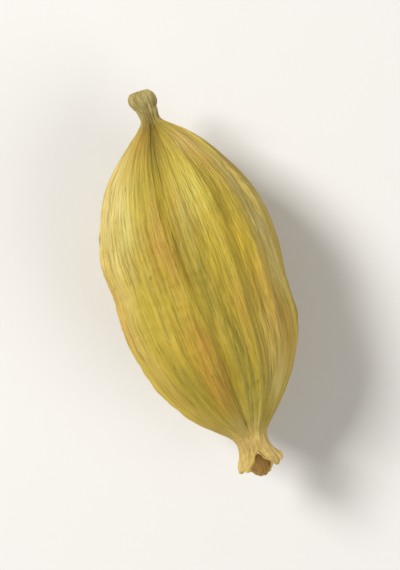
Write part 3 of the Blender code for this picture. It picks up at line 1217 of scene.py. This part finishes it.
def dried_husk():
    """The skin of the whole pod, with its corky and papery ends."""
    made, tree, shader = new_material("dried_husk", roughness=0.5, specular=0.40)
    marks = husk_marks(tree, read(tree, "grown", "Vector"))
    colour = end_paint(tree, husk_paint(tree, marks), read(tree, "around", "Vector"))
    feed(tree, shader.inputs["Base Color"], colour)
    ends = (BETWEEN_FIBRES_ROUGHNESS, FIBRE_ROUGHNESS)
    feed(tree, shader.inputs["Roughness"], remap(tree, marks["fine"]["Streaks"], 0.0, 1.0, *ends))
    hairs = calculate(tree, "MULTIPLY", marks["hair"]["Height"], HAIR_RELIEF)
    creases = calculate(tree, "MULTIPLY", marks["crumpled"]["Height"], CRUMPLE_RELIEF)
    height = calculate(tree, "ADD", marks["fine"]["Height"], hairs)
    height = calculate(tree, "ADD", height, creases)
    raise_bump(tree, shader, height, depth_mm=0.09, strength=1.0)
    shader.inputs["Sheen Weight"].default_value = SHEEN
    shader.inputs["Sheen Roughness"].default_value = SHEEN_ROUGHNESS
    shader.inputs["Sheen Tint"].default_value = PALE_NERVE
    return made


husk_skin = dried_husk()
print("material:", husk_skin.name, "nodes:", len(husk_skin.node_tree.nodes))

# %% [markdown]
# ## The broken face and the cup
#
# Where the stalk snapped, short pale fibres stand in a darker corky middle. Inside the
# calyx the colour goes from tan at the rim through rust to brown at the floor, darker with
# depth. Both use groups of the husk at their own sizes, so all three finishes look like one
# plant.

# %% The two inner materials
BREAK_PALE = srgb(198, 176, 120)
BREAK_DARK = srgb(112, 82, 42)
CUP_TAN = srgb(210, 168, 92)
CUP_RUST = srgb(152, 102, 40)
CUP_BROWN = srgb(74, 42, 18)


def broken_stalk():
    """Pale fibre ends, dark cork between them and brown pits."""
    made, tree, shader = new_material("broken_stalk", roughness=0.85, specular=0.2)
    around = read(tree, "around", "Vector")
    grain = use(tree, blotches, around, (0.2, 0.12), Edge=0.08, Seed=8.0)["Mask"]
    pits = use(tree, specks, around, (0.22, 0.22), Size=0.6, Share=0.6, Seed=1.0)
    colour = lay_over(tree, BREAK_PALE, BREAK_DARK, grain, 0.7)
    colour = lay_over(tree, colour, CUP_BROWN, pits["Mask"], 0.6)
    feed(tree, shader.inputs["Base Color"], colour)
    raise_bump(tree, shader, grain, depth_mm=0.04, strength=0.8)
    return made


def calyx_lining():
    """The inside of the cup, which darkens with its depth, with pale fibres."""
    made, tree, shader = new_material("calyx_lining", roughness=0.75, specular=0.25)
    where = read(tree, "grown", "Vector")
    depth = read(tree, "cup_depth")
    fine = use(tree, streaks, where, (0.9, 0.5), Seed=6.0)
    patches = use(tree, blotches, where, (0.6, 0.9), Edge=0.12, Seed=14.0)
    colour = lay_over(tree, CUP_TAN, PAPER_DARK, patches["Mask"], 0.5)
    colour = lay_over(tree, colour, CUP_RUST, remap(tree, depth, 0.2, 0.85), 1.0)
    colour = lay_over(tree, colour, CUP_BROWN, remap(tree, depth, 0.65, 1.0), 1.0)
    colour = lay_over(tree, colour, PAPER, fine["Streaks"], 0.18)
    feed(tree, shader.inputs["Base Color"], colour)
    raise_bump(tree, shader, fine["Height"], depth_mm=0.05, strength=0.8)
    return made


for finish in (husk_skin, broken_stalk(), calyx_lining()):
    dressed_mesh.materials.append(finish)
print("materials:", [finish.name for finish in dressed_mesh.materials])

# %% [markdown]
# ## The pod takes its place
#
# The dressed pod stands for the imported node and rides on the part's only body.

# %% Swap the imported solid for the dressed pod
dressed_pod = place_object("dressed_pod", dressed_mesh)
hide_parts("pod")
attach(dressed_pod, "root")
print("dressed:", dressed_pod.name)

# %% [markdown]
# ## A plain floor and soft light
#
# The floor is pale and matte. A large soft lamp stands to the upper left of the picture, as
# the light falls in the photograph, a weaker one opposite opens the shadows, and a pale
# world fills the rest. Lamps shrink with the subject: at 18 mm, a lamp 10 cm wide is
# already a big soft box.

# %% Floor, lamps and world
FLOOR_SIZE = 1.2
FLOOR_COLOUR = srgb(232, 230, 226)
WORLD_COLOUR = srgb(242, 240, 236)
WORLD_STRENGTH = 0.31
PICTURE_UP = Vector((-math.cos(POD_SLANT), math.sin(POD_SLANT), 0.0))
PICTURE_RIGHT = Vector((math.sin(POD_SLANT), math.cos(POD_SLANT), 0.0))


def pale_floor():
    """A flat matte square under the pod."""
    mesh = bpy.data.meshes.new("floor")
    half = FLOOR_SIZE / 2
    corners = [(-half, -half, 0.0), (half, -half, 0.0), (half, half, 0.0), (-half, half, 0.0)]
    mesh.from_pydata(corners, [], [(0, 1, 2, 3)])
    finish, _, shader = new_material("pale_floor", roughness=0.9, specular=0.1)
    shader.inputs["Base Color"].default_value = FLOOR_COLOUR
    mesh.materials.append(finish)
    floor = place_object("floor", mesh)


def soft_lamp(name, right, up, height, width, power):
    """A square lamp aimed at the pod, placed in the directions of the picture."""
    lamp = bpy.data.lights.new(name, "AREA")
    lamp.size = width
    lamp.energy = power
    holder = place_object(name, lamp)
    holder.location = PICTURE_RIGHT * right + PICTURE_UP * up + Vector((0.0, 0.0, height))
    holder.rotation_euler = (-holder.location).to_track_quat("-Z", "Y").to_euler()
    holder.visible_camera = False


pale_floor()
soft_lamp("key_lamp", right=-0.18, up=0.09, height=0.20, width=0.10, power=0.80)
soft_lamp("fill_lamp", right=0.20, up=-0.10, height=0.18, width=0.20, power=0.30)

world = bpy.data.worlds.new("studio")
world.use_nodes = True
background = world.node_tree.nodes["Background"]
background.inputs["Color"].default_value = WORLD_COLOUR
background.inputs["Strength"].default_value = WORLD_STRENGTH
bpy.context.scene.world = world
bpy.context.scene.view_settings.view_transform = "Standard"
print("lamps:", [light.name for light in bpy.data.lights])
